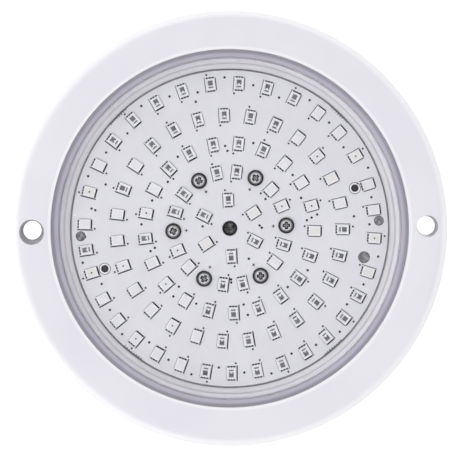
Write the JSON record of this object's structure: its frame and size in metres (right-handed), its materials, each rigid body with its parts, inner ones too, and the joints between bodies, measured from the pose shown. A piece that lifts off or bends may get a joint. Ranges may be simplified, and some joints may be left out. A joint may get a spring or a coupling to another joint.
{
  "type": "underwater pool light",
  "caption": "Round underwater pool light with a slim white flange, two mounting holes, a clear cover over rings of LEDs, and a cup with a side cable gland.",
  "frame": {"origin": "midway between the two mounting screws, on the flange's back face that lies on the pool wall", "axes": "+Z out of the wall, through the clear cover; +X through one mounting hole; the cable gland points along -Y"},
  "size_m": [0.13, 0.13, 0.0353],
  "materials": {
    "white_abs": "smooth moulded, satin",
    "clear_polycarbonate": "clear, polished",
    "white_silicone": "matt, slightly translucent",
    "grey_silicone": "matt",
    "stainless_steel": "bright, turned",
    "white_solder_mask": "matt lacquer",
    "led_body": "moulded white with a clear filling",
    "grey_nylon": "fine spark texture",
    "aluminium_plate": "milled",
    "red_pvc": "smooth insulation",
    "black_pvc": "smooth insulation",
    "solder": "bright tin",
    "green_solder_mask": "lacquered board",
    "black_epoxy": "moulded",
    "capacitor_sleeve": "shrink sleeve",
    "ferrite": "ground ferrite",
    "copper_enamel": "enamelled wire",
    "green_nylon": "moulded",
    "black_rubber": "matt"
  },
  "bodies": {
    "root": {"face_ring": "white_abs", "rear_cup": "white_abs", "lens_cover": "clear_polycarbonate", "lens_gasket": "white_silicone", "clamp_screws": "stainless_steel", "led_board": "white_solder_mask", "leds_ring_1": "led_body", "leds_ring_2": "led_body", "leds_ring_3": "led_body", "leds_ring_4": "led_body", "leds_ring_5": "led_body", "board_screws": "stainless_steel", "locating_pins": "grey_nylon", "centre_plug": "black_rubber", "thermal_pad": "grey_silicone", "heat_spreader": "aluminium_plate", "positive_lead": "red_pvc", "negative_lead": "black_pvc", "lead_solder": "solder", "driver_board": "green_solder_mask", "driver_screws": "stainless_steel", "bridge_rectifier": "black_epoxy", "smoothing_capacitor": "capacitor_sleeve", "output_capacitor": "capacitor_sleeve", "inductor_core": "ferrite", "inductor_winding": "copper_enamel", "driver_chip": "black_epoxy", "freewheel_diode": "black_epoxy", "sense_resistors": "black_epoxy", "terminal_block": "green_nylon", "terminal_screws": "stainless_steel", "gland_body": "grey_nylon", "gland_o_ring": "black_rubber", "gland_seal": "black_rubber", "gland_nut": "grey_nylon", "gland_locknut": "grey_nylon"}
  },
  "joints": []
}
